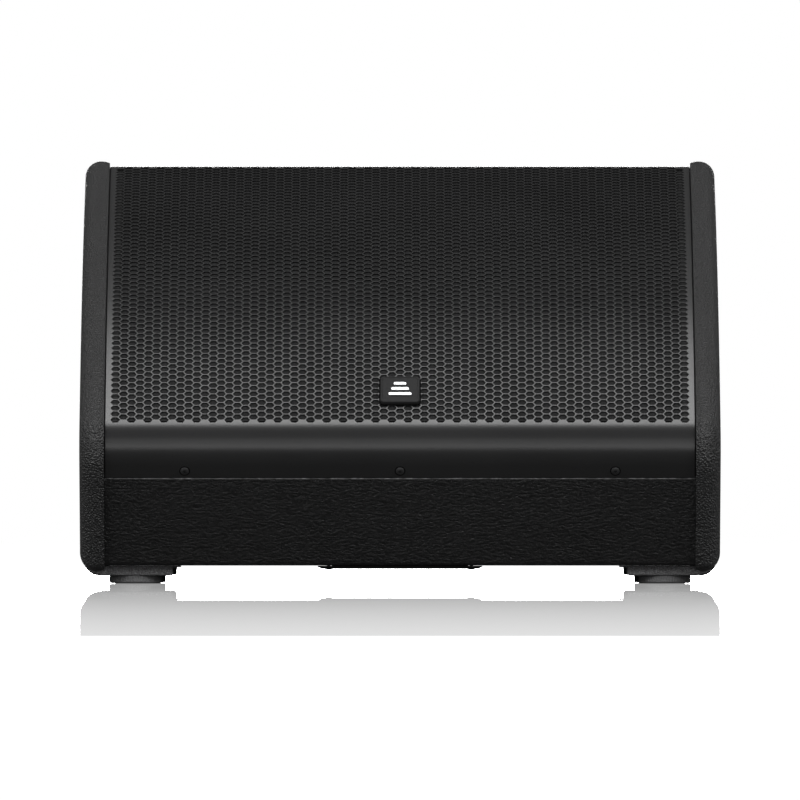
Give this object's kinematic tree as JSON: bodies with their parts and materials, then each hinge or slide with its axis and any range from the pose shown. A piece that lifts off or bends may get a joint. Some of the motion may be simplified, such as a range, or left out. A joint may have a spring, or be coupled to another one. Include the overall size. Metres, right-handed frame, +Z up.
{
  "type": "stage monitor wedge",
  "caption": "Low-profile stage monitor wedge: moulded end cheeks, curved hexagonally perforated grille, coaxial driver, rear amplifier tray.",
  "frame": {"origin": "on the floor under the middle of the object's box", "axes": "+X right as seen from the front, +Y away from the listener, +Z up"},
  "size_m": [0.6, 0.5498, 0.4019],
  "materials": {
    "cheek_plastic": "moulded, finely grained, soft sheen",
    "cabinet_paint": "textured black cabinet paint",
    "plywood": "bare birch plywood",
    "grille_steel": "black powder coat, satin",
    "foam": "black open-cell foam",
    "black_screw": "blackened steel",
    "badge": "satin black plate",
    "emblem": "bright satin",
    "foot_rubber": "matt moulded rubber",
    "surround_rubber": "matt",
    "handle_plastic": "moulded, fine grain",
    "inner_plastic": "moulded",
    "cast_alloy": "black die casting",
    "plated_steel": "zinc plated",
    "ferrite": "sintered, matt",
    "cone_paper": "pressed pulp",
    "suspension_cloth": "resin-dipped cloth",
    "copper": "enamelled wire",
    "titanium": "thin formed metal",
    "tray_steel": "black powder coat",
    "heat_sink_alloy": "black anodised",
    "circuit": "green board",
    "window": "smoked clear window",
    "nickel": "satin nickel",
    "mains_plastic": "moulded, blue",
    "knob_plastic": "soft-touch"
  },
  "bodies": {
    "cabinet": {"amplifier_board": "circuit", "amplifier_tray": "tray_steel", "badge_emblem": "emblem", "badge_plate": "badge", "baffle_board": "plywood", "bottom_handle": "handle_plastic", "bottom_panel": "cabinet_paint", "display_window": "window", "front_left_foot": "foot_rubber", "front_left_foot_screw": "black_screw", "front_panel": "cabinet_paint", "front_right_foot": "foot_rubber", "front_right_foot_screw": "black_screw", "grille": "grille_steel", "grille_foam": "foam", "heat_sink": "heat_sink_alloy", "high_frequency_driver": "cast_alloy", "horn": "inner_plastic", "input_socket": "nickel", "left_cheek": "cheek_plastic", "left_grille_rib": "plywood", "left_grille_screw": "black_screw", "left_port_tube": "inner_plastic", "left_side_panel": "plywood", "link_socket": "nickel", "mains_inlet": "mains_plastic", "middle_grille_screw": "black_screw", "network_socket_1": "nickel", "network_socket_2": "nickel", "power_supply_board": "circuit", "rear_left_foot": "foot_rubber", "rear_left_foot_screw": "black_screw", "rear_panel": "cabinet_paint", "rear_right_foot": "foot_rubber", "rear_right_foot_screw": "black_screw", "right_cheek": "cheek_plastic", "right_grille_rib": "plywood", "right_grille_screw": "black_screw", "right_port_tube": "inner_plastic", "right_side_panel": "plywood", "woofer_basket": "cast_alloy", "woofer_magnet": "ferrite", "woofer_pole_piece": "plated_steel", "woofer_screw_1": "black_screw", "woofer_screw_2": "black_screw", "woofer_screw_3": "black_screw", "woofer_screw_4": "black_screw", "woofer_spider": "suspension_cloth", "woofer_surround": "surround_rubber", "woofer_top_plate": "plated_steel"},
    "cone_assembly": {"woofer_cone": "cone_paper", "voice_coil": "copper"},
    "diaphragm": {"high_frequency_diaphragm": "titanium"},
    "power_rocker": {"power_rocker": "handle_plastic"},
    "encoder_spindle": {"encoder_shaft": "nickel"},
    "encoder_knob": {"encoder_knob": "knob_plastic"},
    "menu_button": {"menu_button": "handle_plastic"},
    "input_latch": {"input_latch_tab": "handle_plastic"},
    "network_latch_1": {"network_latch_tab_1": "handle_plastic"},
    "network_latch_2": {"network_latch_tab_2": "handle_plastic"}
  },
  "joints": [
    {"name": "cone_travel", "type": "slide", "parent": "cabinet", "child": "cone_assembly", "axis": [0, -0.4484, 0.8938], "range_m": [-0.006, 0.006], "stiffness_N_per_m": 7000, "deforming": ["woofer_surround", "woofer_spider"]},
    {"name": "diaphragm_travel", "type": "slide", "parent": "cabinet", "child": "diaphragm", "axis": [0, -0.4484, 0.8938], "range_m": [-0.0003, 0.0003], "stiffness_N_per_m": 20000},
    {"name": "rocker_tip", "type": "hinge", "parent": "cabinet", "child": "power_rocker", "pos_m": [0.08, 0.22288, 0.13766], "axis": [-1, 0, 0], "range_deg": [0, 16]},
    {"name": "encoder_press", "type": "slide", "parent": "cabinet", "child": "encoder_spindle", "axis": [0, -0.9976, -0.0698], "range_m": [0, 0.0008], "stiffness_N_per_m": 3000},
    {"name": "encoder_turn", "type": "hinge", "parent": "encoder_spindle", "child": "encoder_knob", "pos_m": [-0.078, 0.22959, 0.19226], "axis": [0, 0.9976, 0.0698], "continuous": true},
    {"name": "menu_press", "type": "slide", "parent": "cabinet", "child": "menu_button", "axis": [0, -0.9976, -0.0698], "range_m": [0, 0.0015], "stiffness_N_per_m": 1000},
    {"name": "input_latch_press", "type": "slide", "parent": "cabinet", "child": "input_latch", "axis": [0, -0.9976, -0.0698], "range_m": [0, 0.0013], "stiffness_N_per_m": 1500},
    {"name": "network_latch_1_press", "type": "slide", "parent": "cabinet", "child": "network_latch_1", "axis": [0, -0.9976, -0.0698], "range_m": [0, 0.0013], "stiffness_N_per_m": 1500},
    {"name": "network_latch_2_press", "type": "slide", "parent": "cabinet", "child": "network_latch_2", "axis": [0, -0.9976, -0.0698], "range_m": [0, 0.0013], "stiffness_N_per_m": 1500}
  ]
}
